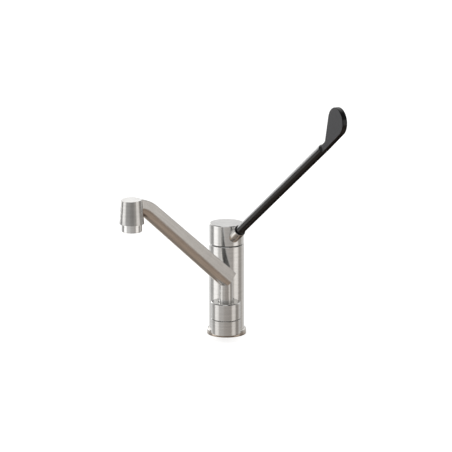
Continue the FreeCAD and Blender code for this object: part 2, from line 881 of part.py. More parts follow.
def elbow_lever_piece():
    """The lever in one moulding: the paddle's plate first, then the rod turned around it."""
    body = DOC.addObject("PartDesign::Body", "rod_and_paddle")
    neck = (paddle_neck, d.paddle_neck_top)
    heel = (paddle_heel, -d.paddle_heel_drop)
    upper = tangent_point(neck, True)
    lower = tangent_point(heel, False)
    sketch = new_sketch(body, "paddle_outline", "XZ_Plane")
    root_half = d.paddle_thickness / 2
    corners = [lower, heel, (paddle_root, -root_half), (paddle_root, d.paddle_neck_top), neck, upper]
    flat = [FreeCAD.Vector(float(x), float(z), 0) for x, z in corners]
    for begin, finish in zip(flat, flat[1:]):
        sketch.addGeometry(Part.LineSegment(begin, finish))
    centre = FreeCAD.Vector(paddle_centre.value, d.paddle_rise.value, 0)
    ring = Part.Circle(centre, UP, d.paddle_radius.value)
    low_turn = math.atan2(flat[0].y - centre.y, flat[0].x - centre.x)
    high_turn = math.atan2(flat[-1].y - centre.y, flat[-1].x - centre.x)
    arc = sketch.addGeometry(Part.ArcOfCircle(ring, low_turn, high_turn))
    for i in range(4):
        sketch.addConstraint(Sketcher.Constraint("Coincident", i, 2, i + 1, 1))
    for i, (x, z) in enumerate(corners[1:5], start=1):
        pin_point(sketch, i, 1, x, z)
    pin_point(sketch, arc, 3, paddle_centre, d.paddle_rise)
    held = sketch.addConstraint(Sketcher.Constraint("Radius", arc, d.paddle_radius.value))
    sketch.setExpression(f"Constraints[{held}]", d.paddle_radius.text)
    sketch.addConstraint(Sketcher.Constraint("Tangent", 4, 2, arc, 2))
    sketch.addConstraint(Sketcher.Constraint("Tangent", arc, 1, 0, 1))
    pad = body.newObject("PartDesign::Pad", "paddle_plate")
    pad.Profile = sketch
    pad.Midplane = True
    bind(pad, Length=d.paddle_thickness)
    DOC.recompute()

    blend = body.newObject("PartDesign::Fillet", "paddle_neck_blend")
    blend.Base = (pad, neck_edge(pad.Shape, neck))
    bind(blend, Radius=d.paddle_neck_blend)
    DOC.recompute()
    edges = body.newObject("PartDesign::Fillet", "paddle_edges")
    edges.Base = (blend, rim_edges(blend.Shape))
    bind(edges, Radius=d.paddle_edge)
    DOC.recompute()

    stud_hole = d.stud_radius + d.seat_gap
    stud_end = rod_start + d.stud_engagement + d.seat_gap
    section = outline(body, "rod_section", "XZ_Plane", [
        (rod_start, stud_hole),
        (rod_start, d.rod_radius),
        (rod_end - d.rod_nose, d.rod_end_radius),
        (rod_end, root_half + d.rod_shoulder),
        (rod_end, 0.0),
        (stud_end, 0.0),
        (stud_end, stud_hole),
    ])
    rod = body.newObject("PartDesign::Revolution", "rod_turning")
    rod.Profile = section
    rod.ReferenceAxis = (section, ["H_Axis"])
    rod.Angle = 360
    body.Placement = LEVER_FLAT
    DOC.recompute()
    piece("elbow_lever", body)


def tangent_point(outside, upper):
    """Where a straight edge from a point outside the paddle's round end touches it."""
    across = paddle_centre.value - outside[0].value
    up = d.paddle_rise.value - outside[1].value
    reach = math.hypot(across, up)
    toward = math.atan2(up, across)
    spread = math.asin(d.paddle_radius.value / reach)
    angle = toward + spread if upper else toward - spread
    length = math.sqrt(reach ** 2 - d.paddle_radius.value ** 2)
    return (outside[0].value + length * math.cos(angle),
            outside[1].value + length * math.sin(angle))


def neck_edge(shape, neck):
    for number, edge in enumerate(shape.Edges, start=1):
        ends = [vertex.Point for vertex in edge.Vertexes]
        if len(ends) == 2 and all(abs(p.x - neck[0].value) < 1e-3 for p in ends):
            if all(abs(p.z - neck[1].value) < 1e-3 for p in ends):
                return [f"Edge{number}"]
    raise RuntimeError("the paddle has no neck edge")


def rim_edges(shape):
    """The edges of the paddle's two flat faces, less those inside the rod."""
    names = []
    half = d.paddle_thickness.value / 2
    for number, edge in enumerate(shape.Edges, start=1):
        middle = edge.valueAt((edge.FirstParameter + edge.LastParameter) / 2)
        ends = [vertex.Point for vertex in edge.Vertexes]
        on_face = all(abs(abs(p.y) - half) < 1e-3 for p in ends + [middle])
        if on_face and middle.x > paddle_root.value + 1e-3:
            names.append(f"Edge{number}")
    return names


# Cartridge: shell, base and discs stand still, the stem carrier turns, the stem tips about
# its pin and slides the moving disc

def cartridge_pieces():
    seat = cartridge_seat
    base_top = seat + d.cartridge_base_height
    blank = cylinder("base_blank", d.cartridge_radius, d.cartridge_base_height, z=seat)
    tools = []
    seals = []
    discs = []
    for name, x, y in PORTS:
        tools.append(cylinder(f"{name}_port", d.port_radius, d.cartridge_base_height,
                              x=x, y=y, z=seat))
        tools.append(cylinder(f"{name}_seal_seat", d.port_seal_radius + d.seat_gap,
                              d.port_seal_thickness, x=x, y=y, z=seat))
        ring = cylinder(f"{name}_seal_ring", d.port_seal_radius, d.port_seal_thickness,
                        x=x, y=y, z=seat)
        hole = cylinder(f"{name}_seal_hole", d.waterway_radius + d.part_gap,
                        d.port_seal_thickness, x=x, y=y, z=seat)
        seals.append(cut(f"{name}_seal", ring, hole))
        discs.append(cylinder(f"{name}_disc_port", d.port_radius, d.disc_thickness,
                              x=x, y=y, z=base_top))
    piece("cartridge_base", cut("base_drilled", blank, *tools))
    seal_group = DOC.addObject("Part::Compound", "port_seals")
    seal_group.Links = seals
    piece("cartridge_port_seals", seal_group)

    shell_in = d.cartridge_radius - d.shell_wall
    disc_radius = shell_in - d.disc_offset - d.disc_play
    roof = cartridge_top - d.shell_roof
    neck_hole = d.neck_radius + d.part_gap
    piece("cartridge_shell", turned("shell_turning", [
        (shell_in, base_top),
        (d.cartridge_radius, base_top),
        (d.cartridge_radius, cartridge_top),
        (neck_hole, cartridge_top),
        (neck_hole, roof),
        (shell_in, roof),
    ]))
    disc = cylinder("fixed_disc_blank", shell_in - d.seat_gap, d.disc_thickness, z=base_top)
    piece("fixed_ceramic_disc", cut("fixed_disc", disc, *discs))

    slide = LEVER * placed(x=-d.disc_offset)
    disc_bottom = base_top + d.disc_thickness + d.seat_gap
    disc_top = disc_bottom + d.disc_thickness
    piece("moving_ceramic_disc", turned("moving_disc", [
        (d.disc_recess_radius, disc_bottom),
        (disc_radius, disc_bottom),
        (disc_radius, disc_top),
        (0.0, disc_top),
        (0.0, disc_bottom + d.disc_recess_depth),
        (d.disc_recess_radius, disc_bottom + d.disc_recess_depth),
    ], slide))
    carrier_height = d.disc_carrier_height
    carrier = cylinder("disc_carrier_blank", disc_radius, carrier_height, slide, z=disc_top)
    carrier_top = disc_top + carrier_height
    slot_depth = carrier_height - d.disc_carrier_web
    slot_length = d.tongue_width + d.tongue_play * 2
    slot = block("tongue_slot", slot_length, d.tongue_width + d.part_gap, slot_depth, LEVER,
                 z=carrier_top - slot_depth, back=slot_length / 2)
    piece("disc_carrier", cut("disc_carrier_slotted", carrier, slot))

    drum_bottom = carrier_top + d.stem_carrier_gap
    drum_top = roof - d.part_gap
    drum = turned("stem_carrier_turning", [
        (0.0, drum_bottom),
        (shell_in - d.part_gap, drum_bottom),
        (shell_in - d.part_gap, drum_top),
        (d.neck_radius, drum_top),
        (d.neck_radius, neck_top),
        (0.0, neck_top),
    ], LEVER)
    slack = d.part_gap * 3
    slot_width = d.stem_width + d.part_gap + d.seat_gap * 2
    half_stem = d.stem_width / 2
    low_length = d.stem_width + slack * 2 + d.stem_swing
    neck_length = d.stem_width + slack * 2 + d.stem_swing * 2 / 3
    low_slot = block("drum_slot", low_length, slot_width, drum_top - drum_bottom, LEVER,
                     z=drum_bottom, back=half_stem + slack)
    neck_slot = block("neck_slot", neck_length, slot_width, neck_top - drum_top, LEVER,
                      z=drum_top, back=neck_length / 2 - d.part_gap * 2)
    across = FreeCAD.Vector(1, 0, 0)
    pin_hole = cylinder("drum_pin_hole", d.pin_radius + d.seat_gap / 2, d.pin_length, LEVER,
                        y=d.pin_length / 2, z=pivot_height, axis=across, angle=90)
    piece("stem_carrier", cut("stem_carrier_slotted", drum, low_slot, neck_slot, pin_hole))
    piece("stem_pivot_pin", cylinder("pivot_pin", d.pin_radius, d.pin_length, LEVER,
                                     y=d.pin_length / 2, z=pivot_height, axis=across, angle=90))

    tongue_bottom = carrier_top - slot_depth + d.part_gap
    stem_shoulder = drum_bottom + d.shoulder_rise
    bar = block("stem_bar", d.stem_width, d.stem_width, stem_top - stem_shoulder, LEVER,
                z=stem_shoulder, back=half_stem)
    tongue = block("stem_tongue", d.tongue_width, d.tongue_width,
                   stem_shoulder - tongue_bottom, LEVER, z=tongue_bottom,
                   back=d.tongue_width / 2)
    stem_hole = cylinder("stem_pin_hole", d.pin_radius + d.running_gap, d.stem_width * 2, LEVER,
                         y=d.stem_width, z=pivot_height, axis=across, angle=90)
    piece("cartridge_stem", cut("stem", joined("stem_blank", bar, tongue), stem_hole))

    nut_top = column_top - d.nut_drop
    nut_hole = d.neck_radius + d.nut_play
    ring = turned("nut_turning", [
        (nut_hole, cartridge_top),
        (nut_radius, cartridge_top),
        (nut_radius, nut_top),
        (nut_hole, nut_top),
    ])
    hexagon = DOC.addObject("Part::Prism", "nut_hexagon")
    hexagon.Polygon = 6
    bind(hexagon, Circumradius=trim_inner - d.hex_gap, Height=d.hex_height)
    hexagon.Placement = placed(z=nut_top)
    hexagon_hole = cylinder("hexagon_hole", nut_hole, d.hex_height, z=nut_top)
    piece("cartridge_nut", joined("nut", ring, cut("nut_crown", hexagon, hexagon_hole)))
    piece("trim_sleeve", turned("trim", [
        (trim_inner, column_top),
        (trim_outer, column_top),
        (trim_outer, column_top + d.trim_height),
        (trim_inner, column_top + d.trim_height),
    ]))


base_pieces()
column_piece()
barrel_pieces()
spout_piece()
aerator_pieces()
cap_pieces()
lever_pieces()
elbow_lever_piece()
cartridge_pieces()
DOC.recompute()

for item in DOC.Objects:
    if "Invalid" in item.State or "Error" in item.State:
        raise RuntimeError(f"{item.Label} failed: {item.State}")
for item in NODES:
    if item.Shape.isNull() or not item.Shape.isValid():
        raise RuntimeError(f"{item.Label} has no valid shape")

os.makedirs("parts", exist_ok=True)
for item in NODES:
    item.Shape.exportStep(f"parts/{item.Label}.step")
    print(f"{item.Label}: {len(item.Shape.Solids)} solid, {item.Shape.Volume:.0f} mm3")
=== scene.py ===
# %% [markdown]
# # An elbow-operated mixer tap in brushed steel
#
# The tap's solid parts come from its engineering model, so this lesson is about looks: a
# camera, a small photo studio and the finish of each piece. Lengths are in metres, the
# column's axis is the world's Z axis, and the front of the tap looks towards -Y.

# %% Load the tap's solid parts
import json
import math

import bpy
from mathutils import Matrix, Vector


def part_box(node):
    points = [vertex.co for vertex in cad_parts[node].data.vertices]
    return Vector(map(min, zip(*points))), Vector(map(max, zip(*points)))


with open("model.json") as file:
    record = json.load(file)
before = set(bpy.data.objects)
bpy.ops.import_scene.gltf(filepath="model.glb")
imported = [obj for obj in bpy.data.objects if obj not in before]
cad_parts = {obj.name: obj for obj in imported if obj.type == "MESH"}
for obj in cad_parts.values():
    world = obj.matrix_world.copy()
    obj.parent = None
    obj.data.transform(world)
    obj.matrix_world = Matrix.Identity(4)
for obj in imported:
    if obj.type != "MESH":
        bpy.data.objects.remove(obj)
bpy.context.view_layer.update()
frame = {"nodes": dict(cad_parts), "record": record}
print("solid parts:", len(frame["nodes"]))

# %% [markdown]
# ## The camera
#
# The picture was taken from far away with a long lens: the rings of the column are flat
# ellipses of nearly the same shape at the top and at the bottom. The slope of the view comes
# from those ellipses, and the width of the column sets how far away the camera stands.

# %% Place the camera
view_slope = math.radians(13.55)
view_side = math.radians(1.5)
camera_distance = 3.6
looked_at = Vector((-0.0008, 0.0, 0.1446))
look = Vector((
    -math.sin(view_side) * math.cos(view_slope),
    math.cos(view_side) * math.cos(view_slope),
    -math.sin(view_slope),
))
camera_data = bpy.data.cameras.new("studio_camera")
camera_data.sensor_width = 36.0
camera_data.lens = 218.87
camera = bpy.data.objects.new("studio_camera", camera_data)
camera.location = looked_at - look * camera_distance
camera.rotation_euler = look.to_track_quat("-Z", "Y").to_euler()
bpy.context.scene.collection.objects.link(camera)
bpy.context.scene.camera = camera
bpy.context.scene.view_settings.view_transform = "Standard"
print("camera at", [round(c, 3) for c in camera.location])

# %% [markdown]
# ## Small helpers for materials
#
# Every finish below is a node tree: a few textures that vary a value, mixed into one
# Principled shader. The helpers only save typing. `plug` puts a number or another node's
# output into a socket, `node` adds a node with its inputs, and `maths` and `vectors` add a
# sum and hand back its result, so that a tree reads like a formula. `ramp`, `stretch` and
# `blend` turn values into colours and mix them.

# %% Helpers for node trees
def plug(tree, value, socket):
    if isinstance(value, bpy.types.NodeSocket):
        tree.links.new(value, socket)
    else:
        socket.default_value = value


def node(tree, kind, **inputs):
    item = tree.nodes.new(kind)
    for key, value in inputs.items():
        plug(tree, value, item.inputs[key.replace("_", " ")])
    return item


def maths(tree, operation, first, second=0.0):
    item = tree.nodes.new("ShaderNodeMath")
    item.operation = operation
    plug(tree, first, item.inputs[0])
    plug(tree, second, item.inputs[1])
    return item.outputs["Value"]


def vectors(tree, operation, first, second=(0.0, 0.0, 0.0)):
    item = tree.nodes.new("ShaderNodeVectorMath")
    item.operation = operation
    plug(tree, first, item.inputs[0])
    plug(tree, second, item.inputs[1])
    return item.outputs["Value" if operation in ("LENGTH", "DOT_PRODUCT") else "Vector"]


def ramp(tree, amount, stops):
    """A colour ramp: a list of places from 0 to 1 with the colour at each."""
    item = node(tree, "ShaderNodeValToRGB", Fac=amount)
    points = item.color_ramp.elements
    while len(points) < len(stops):
        points.new(0.5)
    for point, (place, color) in zip(points, stops):
        point.position = place
        point.color = (*color, 1.0)
    return item.outputs["Color"]


def stretch(tree, amount, low, high):
    """Takes a value that runs from 0 to 1 to one that runs from low to high."""
    item = node(tree, "ShaderNodeMapRange", Value=amount)
    item.inputs["To Min"].default_value = low
    item.inputs["To Max"].default_value = high
    return item.outputs["Result"]


def blend(tree, share, first, second, kind="RGBA", way="MIX"):
    """Mixes two colours, vectors or numbers, where share is how much of the second shows."""
    item = tree.nodes.new("ShaderNodeMix")
    item.data_type = kind
    item.blend_type = way
    inputs = [socket for socket in item.inputs if socket.enabled]
    for socket, value in zip(inputs, (share, first, second)):
        plug(tree, value, socket)
    return [socket for socket in item.outputs if socket.enabled][0]


def tinted(tree, color, tint):
    """A colour seen through a tint."""
    return blend(tree, 1.0, color, tint, way="MULTIPLY")


def grey(value, warmth=0.0):
    """A grey of that brightness, with a little more red and less blue if it is warm."""
    return (value * (1.0 + warmth), value, value * (1.0 - warmth))


WHITE = (1.0, 1.0, 1.0, 1.0)
print("helpers ready")

# %% [markdown]
# ## The studio room
#
# Polished and brushed metal has hardly any colour of its own: what we see is the room. The
# column shows upright stripes, which are the studio seen in a round mirror: white at the two
# soft boxes, dark at the black cards beside them, grey in front where the camera stands, and
# light behind the tap. The room could be built from cards and boxes. Painted on the world it
# needs fewer parts: one ramp goes round the horizon, and three more go round at other heights,
# which are the far part of the brown table, its near part and the ceiling.

# %% Choose the colours round the horizon
# Degrees from the camera, plus to its right, and the room's colour there
ROOM = [
    (-180.0, grey(0.74)),
    (-136.0, grey(0.74)),
    (-122.0, grey(0.34)),
    (-98.0, grey(0.32)),
    (-88.0, grey(1.35)),
    (-63.0, grey(1.28)),
    (-51.0, grey(0.66)),
    (-20.0, grey(0.60)),
    (-8.0, grey(0.47, 0.02)),
    (14.0, grey(0.44, 0.02)),
    (44.0, grey(0.40, 0.04)),
    (56.0, grey(1.04, 0.03)),
    (78.0, grey(1.00, 0.03)),
    (90.0, grey(0.36, 0.05)),
    (110.0, grey(0.36, 0.05)),
    (124.0, grey(0.66, 0.03)),
    (180.0, grey(0.74)),
]
# The same for the table near the horizon: white at the back left, brown elsewhere
TABLE = [
    (-180.0, (0.40, 0.340, 0.290)),
    (-172.0, (1.00, 0.930, 0.860)),
    (-145.0, (1.30, 1.260, 1.210)),
    (-106.0, (1.30, 1.275, 1.235)),
    (-88.0, (0.60, 0.510, 0.430)),
    (-60.0, (0.50, 0.420, 0.350)),
    (0.0, (0.44, 0.350, 0.285)),
    (70.0, (0.31, 0.243, 0.197)),
    (130.0, (0.20, 0.150, 0.115)),
    (155.0, (0.05, 0.035, 0.028)),
    (172.0, (0.05, 0.035, 0.028)),
    (180.0, (0.40, 0.340, 0.290)),
]
# Further down it is brown all round, and darkest behind the tap
BELOW = [
    (-180.0, (0.05, 0.038, 0.030)),
    (-168.0, (0.06, 0.048, 0.040)),
    (-156.0, (0.26, 0.215, 0.180)),
    (-142.0, (0.31, 0.260, 0.220)),
    (-122.0, (0.27, 0.235, 0.205)),
    (-60.0, (0.43, 0.345, 0.280)),
    (90.0, (0.43, 0.340, 0.275)),
    (135.0, (0.15, 0.115, 0.090)),
    (160.0, (0.05, 0.035, 0.028)),
    (180.0, (0.06, 0.045, 0.036)),
]
# High up it is dark in front, where the studio has no light, and bright behind the tap
ABOVE = [
    (-180.0, grey(1.15)),
    (-140.0, grey(1.00)),
    (-112.0, grey(0.22)),
    (0.0, grey(0.10)),
    (112.0, grey(0.16)),
    (140.0, grey(1.00)),
    (180.0, grey(1.15)),
]
print("stops:", [len(ring) for ring in (ROOM, TABLE, BELOW, ABOVE)])

# %% [markdown]
# A direction's place round the horizon is its angle from the camera's side. Its height runs
# from nought straight down to one straight up, with a half at the horizon. The camera itself
# sees plain white behind the tap, and diffuse light comes from a plain, even room.

# %% Paint the room around the tap
# The heights at which one ring fades into the next
BELOW_TO_TABLE = (0.13, 0.23)
TABLE_TO_ROOM = (0.31, 0.37)
ROOM_TO_ABOVE = (0.63, 0.68)
EVEN_LIGHT = (0.85, 0.85, 0.85, 1.0)


def seen_sharply(tree):
    """The kinds of ray, and one for those of the camera, of mirrors and of clear things."""
    rays = node(tree, "ShaderNodeLightPath").outputs
    seen = maths(tree, "MAXIMUM", rays["Is Camera Ray"], rays["Is Glossy Ray"])
    return rays, maths(tree, "MAXIMUM", seen, rays["Is Transmission Ray"])


def studio_world():
    """A world with the four rings for metal, and plain light for everything else."""
    world = bpy.data.worlds.new("studio_room")
    world.use_nodes = True
    room = world.node_tree
    direction = node(room, "ShaderNodeTexCoord").outputs["Generated"]
    split = node(room, "ShaderNodeSeparateXYZ", Vector=direction).outputs
    angle = maths(room, "ARCTAN2", split["X"], maths(room, "MULTIPLY", split["Y"], -1.0))
    turn = maths(room, "ADD", maths(room, "DIVIDE", angle, 2.0 * math.pi), 0.5)
    height = maths(room, "ADD", maths(room, "MULTIPLY", split["Z"], 0.5), 0.5)
    walls, table, below, above = (
        ramp(room, turn, [(0.5 + degrees / 360.0, color) for degrees, color in ring])
        for ring in (ROOM, TABLE, BELOW, ABOVE))

    def over(base, other, band, first, last):
        """Lays another ring over the first ones, with a share that changes in the band."""
        share = ramp(room, height, [(band[0], grey(first)), (band[1], grey(last))])
        return blend(room, share, base, other)

    seen_in_metal = over(walls, table, TABLE_TO_ROOM, 1.0, 0.0)
    seen_in_metal = over(seen_in_metal, below, BELOW_TO_TABLE, 1.0, 0.0)
    seen_in_metal = over(seen_in_metal, above, ROOM_TO_ABOVE, 0.0, 1.0)
    rays, sharp = seen_sharply(room)
    backdrop = blend(room, rays["Is Camera Ray"], seen_in_metal, WHITE)
    light = blend(room, sharp, EVEN_LIGHT, backdrop)
    background = room.nodes["Background"]
    background.inputs["Strength"].default_value = 1.0
    room.links.new(light, background.inputs["Color"])
    return world


bpy.context.scene.world = studio_world()
print("world:", bpy.context.scene.world.name)

# %% [markdown]
# ## The floor
#
# The picture's ground is pure white with hardly any shadow. The floor is a matt sheet, and a
# light of its own, which lights nothing else, lifts it to white for the camera while a faint
# shadow stays under the tap. The metal looks through the floor at the painted table.

# %% Lay the floor
def new_finish(name):
    """A material with its node tree and its shader."""
    finish = bpy.data.materials.new(name)
    finish.use_nodes = True
    return finish, finish.node_tree, finish.node_tree.nodes["Principled BSDF"]


half_floor = 3.0
floor_drop = 0.0002
floor_tone = (0.36, 0.36, 0.36, 1.0)
floor_glow = 0.80
corners = [(-1, -1), (1, -1), (1, 1), (-1, 1)]
floor_mesh = bpy.data.meshes.new("studio_floor")
floor_mesh.from_pydata([(x * half_floor, y * half_floor, 0.0) for x, y in corners], [],
                       [(0, 1, 2, 3)])
floor = bpy.data.objects.new("studio_floor", floor_mesh)
floor.location.z = -floor_drop
bpy.context.scene.collection.objects.link(floor)
floor.visible_glossy = False

sheet, sheet_tree, sheet_shader = new_finish("pale_floor")
sheet_shader.inputs["Base Color"].default_value = floor_tone
sheet_shader.inputs["Roughness"].default_value = 0.9
sheet_shader.inputs["Specular IOR Level"].default_value = 0.2
sheet_shader.inputs["Emission Color"].default_value = WHITE
plug(sheet_tree, maths(sheet_tree, "MULTIPLY", seen_sharply(sheet_tree)[1], floor_glow),
     sheet_shader.inputs["Emission Strength"])
floor_mesh.materials.append(sheet)
print("floor:", 2 * half_floor, "m wide")

# %% [markdown]
# ## Lamps
#
# The room already lights the tap evenly. Two large soft lamps add a direction: one high on
# the left, and a weaker, warmer one on the right. Mirrors don't see them, because the soft
# boxes on the painted walls already stand for them there.

# %% Hang the lamps
def area_lamp(name, place, facing, size, power, color=(1.0, 1.0, 1.0)):
    """An area lamp with its width and height, whose face looks along the given line."""
    data = bpy.data.lights.new(name, "AREA")
    data.shape = "RECTANGLE"
    data.size, data.size_y = size
    data.energy = power
    data.color = color
    lamp = bpy.data.objects.new(name, data)
    lamp.location = place
    lamp.rotation_euler = facing.to_track_quat("-Z", "Y").to_euler()
    bpy.context.scene.collection.objects.link(lamp)
    print(name, "of", size[0], "by", size[1], "m")
    return lamp


def soft_lamp(name, place, width, power, color):
    """A square lamp that looks at the tap and that no mirror sees."""
    lamp = area_lamp(name, place, looked_at - Vector(place), (width, width), power, color)
    lamp.visible_glossy = False


soft_lamp("left_soft_box", (-1.4, -0.9, 1.5), 0.9, 9.0, (1.0, 1.0, 1.0))
soft_lamp("right_soft_box", (1.5, -0.6, 1.1), 0.8, 4.0, (1.0, 0.97, 0.93))

# %% [markdown]
# ## Lamps for the mirrors
#
# Some reflections change along a piece, so they can't come from a far wall. The dark streak in
# the middle of the column is the spout's arm in the mirror, whose top sees the dark ceiling,
# and it fades on the cap, where a dim lamp over the arm lights that top. The black lever has a
# soft light along its upper left, from a long low lamp far behind on the left. Both lamps are
# for mirrors only: they light nothing else and the camera doesn't see them.

# %% Hang the lamps for the mirrors
# Watts for each square metre that make a lamp's face as bright as a wall of brightness one
WATTS_PER_AREA = 4.0


def mirror_lamp(name, place, facing, size, brightness):
    """A lamp as bright as a wall of that brightness, which only mirrors see."""
    lamp = area_lamp(name, place, facing, size, brightness * WATTS_PER_AREA * size[0] * size[1])
    lamp.visible_camera = False
    lamp.visible_diffuse = False
    lamp.visible_transmission = False


far_place = Vector((-0.875, 1.040, 0.210))
towards_tap = Vector((-far_place.x, -far_place.y, 0.0))
over_arm = Vector((-0.0325, -0.165, 0.465))
downward = Vector((0.0, 0.0, -1.0))
mirror_lamp("far_low_lamp", far_place, towards_tap, (1.27, 0.42), 1.7)
mirror_lamp("lamp_over_arm", over_arm, downward, (0.215, 0.27), 0.5)

# %% [markdown]
# ## Where the pieces stand
#
# A finish that follows a turned piece needs that piece's axis. The barrel's axis is the
# spout's hinge, the spout points from there to its aerator, and the lever points at right
# angles to the hinge that it is lifted about. The axes are read from the model, and the
# slopes of the arm and of the lever are two of its sizes.

# %% Read the axes from the model
joints = {joint["name"]: joint for joint in frame["record"]["behaviour"]["joints"]}
column_axis = Vector((0.0, 0.0, 0.0))
barrel_axis = Vector(joints["spout_swivel"]["pos_m"])
barrel_axis.z = 0.0
low, high = (Vector(corner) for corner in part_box("aerator_housing"))
head_axis = (low + high) / 2
head_axis.z = 0.0
spout_out = (head_axis - barrel_axis).normalized()
spout_reach = (head_axis - barrel_axis).length
spout_slope = math.radians(39.9)
lift_axis = Vector(joints["lever_lift"]["axis"])
lever_out = lift_axis.cross(Vector((0.0, 0.0, 1.0))).normalized()
if lever_out.y > 0.0:
    lever_out = -lever_out
lever_rise = math.radians(35.0)
lever_along = lever_out * math.cos(lever_rise) + Vector((0.0, 0.0, math.sin(lever_rise)))
lever_start = Vector((0.0, 0.0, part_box("column_body")[1][2]))
upright = (0.0, 0.0, 0.0)
print("spout reach", round(spout_reach, 4), "lever", [round(c, 3) for c in lever_along])

# %% [markdown]
# ## Brushed steel
#
# Brushed steel is a mirror with fine parallel scratches, which smear the reflection across
# themselves and leave it sharp along them. On a turned piece the scratches run round the
# axis, so upright stripes of light stay crisp while they blur up and down. Three things make
# the finish: a noise squeezed along the scratches for the fine lines, a coarser one for the
# streaks that the eye sees from afar, and a cloudy one for the uneven polish. They vary the
# roughness, the tone and a very low bump. The shader's anisotropy needs to know which way the
# scratches run, and gets it as a tangent.

# %% Which way the scratches run
def own_place(tree, centre, turn):
    """Where a point lies in a piece's own frame, with the given centre and turn."""
    place = node(tree, "ShaderNodeTexCoord").outputs["Object"]
    shift = node(tree, "ShaderNodeMapping", Vector=place, Location=centre, Rotation=turn)
    shift.vector_type = "TEXTURE"
    return shift.outputs["Vector"]


def to_world(tree, line, turn):
    """Turns a line from a piece's own frame into the world's, where shaders want it."""
    back = node(tree, "ShaderNodeMapping", Vector=line, Rotation=turn)
    back.vector_type = "VECTOR"
    out = node(tree, "ShaderNodeVectorTransform", Vector=back.outputs["Vector"])
    out.vector_type = "VECTOR"
    out.convert_from = "OBJECT"
    out.convert_to = "WORLD"
    return out.outputs["Vector"]


# Scratches to a metre across their direction, and how slowly the noise runs along them
FINE = 4200.0
COARSE = 620.0
FINE_ROUND, COARSE_ROUND = 60.0, 35.0
FINE_STRAIGHT, COARSE_STRAIGHT = 40.0, 22.0
RADIUS_SHARE = 1.37


def axis_place(tree, local):
    """How far a point lies from its own frame's Z axis, and its height along that axis."""
    split = node(tree, "ShaderNodeSeparateXYZ", Vector=local).outputs
    flat = node(tree, "ShaderNodeCombineXYZ", X=split["X"], Y=split["Y"])
    return vectors(tree, "LENGTH", flat.outputs["Vector"]), split["Z"]


def squeezed(tree, local, lines, slow):
    """Noise coordinates that run fast across the scratches and slowly along them."""
    radius, height = axis_place(tree, local)
    across = maths(tree, "ADD", height, maths(tree, "MULTIPLY", radius, RADIUS_SHARE))
    split = node(tree, "ShaderNodeSeparateXYZ", Vector=local).outputs
    out = node(tree, "ShaderNodeCombineXYZ",
               X=maths(tree, "MULTIPLY", split["X"], slow),
               Y=maths(tree, "MULTIPLY", split["Y"], slow),
               Z=maths(tree, "MULTIPLY", across, lines))
    return out.outputs["Vector"]


def turned_lines(tree, centre, turn=upright):
    """Scratches round an axis, as a lathe leaves them: fine, coarse and their direction."""
    local = own_place(tree, centre, turn)
    around = vectors(tree, "CROSS_PRODUCT", (0.0, 0.0, 1.0), local)
    return (squeezed(tree, local, FINE, FINE_ROUND),
            squeezed(tree, local, COARSE, COARSE_ROUND), to_world(tree, around, turn))


def straight_lines(tree, centre, turn):
    """Scratches along a piece's own X axis, as a belt leaves them."""
    local = own_place(tree, centre, turn)
    fine = vectors(tree, "MULTIPLY", local, (FINE_STRAIGHT, FINE, FINE))
    coarse = vectors(tree, "MULTIPLY", local, (COARSE_STRAIGHT, COARSE, COARSE))
    return fine, coarse, to_world(tree, (1.0, 0.0, 0.0), turn)


print("scratch directions ready")

# %% [markdown]
# The steel itself then takes the scratches' coordinates and mixes them. Each piece passes its
# own tone and roughness, because the parts come from different machines: the column and the
# cap from a lathe, the arm from a grinding belt, the small rings from a polishing wheel.

# %% Mix the brushed steel
FINE_SHARE, COARSE_SHARE = 0.45, 0.55
SMOOTHEST, ROUGHEST = 0.72, 1.30
CLOUD_SCALE = 70.0
BUMP_HEIGHT = 0.0001


def brushed_steel(name, lines, tone, roughness, streaks=0.05, clouds=0.04, scratch=0.10,
                  stretched=0.55, tint=None):
    """lines gives the scratches' coordinates and direction in a tree, and tint a colour."""
    finish, tree, shader = new_finish(name)
    fine_place, coarse_place, along = lines(tree)
    fine = node(tree, "ShaderNodeTexNoise", Vector=fine_place, Scale=1.0, Detail=3.0,
                Roughness=0.6).outputs["Fac"]
    coarse = node(tree, "ShaderNodeTexNoise", Vector=coarse_place, Scale=1.0, Detail=2.0,
                  Roughness=0.55).outputs["Fac"]
    place = node(tree, "ShaderNodeTexCoord").outputs["Object"]
    cloud = node(tree, "ShaderNodeTexNoise", Vector=place, Scale=CLOUD_SCALE, Detail=3.0,
                 Roughness=0.5).outputs["Fac"]
    worn = maths(tree, "ADD", maths(tree, "MULTIPLY", fine, FINE_SHARE),
                 maths(tree, "MULTIPLY", coarse, COARSE_SHARE))
    plug(tree, stretch(tree, worn, roughness * SMOOTHEST, roughness * ROUGHEST),
         shader.inputs["Roughness"])
    dull = tuple(c * (1.0 - streaks) for c in tone)
    clear = tuple(min(c * (1.0 + streaks), 1.0) for c in tone)
    streaked = ramp(tree, coarse, [(0.32, dull), (0.68, clear)])
    patch = ramp(tree, cloud, [(0.30, grey(1.0 - clouds)), (0.70, grey(1.0))])
    surface = tinted(tree, streaked, patch)
    if tint:
        surface = tinted(tree, surface, tint(tree))
    plug(tree, surface, shader.inputs["Base Color"])
    relief = maths(tree, "ADD", fine, maths(tree, "MULTIPLY", coarse, 0.5))
    bump = node(tree, "ShaderNodeBump", Height=relief, Strength=scratch, Distance=BUMP_HEIGHT)
    plug(tree, bump.outputs["Normal"], shader.inputs["Normal"])
    plug(tree, along, shader.inputs["Tangent"])
    shader.inputs["Metallic"].default_value = 1.0
    shader.inputs["Anisotropic"].default_value = stretched
    shader.inputs["Anisotropic Rotation"].default_value = 0.25
    return finish


def turned_steel(name, centre, tone, roughness, turn=upright, **more):
    """Brushed metal from a lathe, with its scratches round an axis."""
    return brushed_steel(name, lambda tree: turned_lines(tree, centre, turn), tone, roughness,
                         **more)


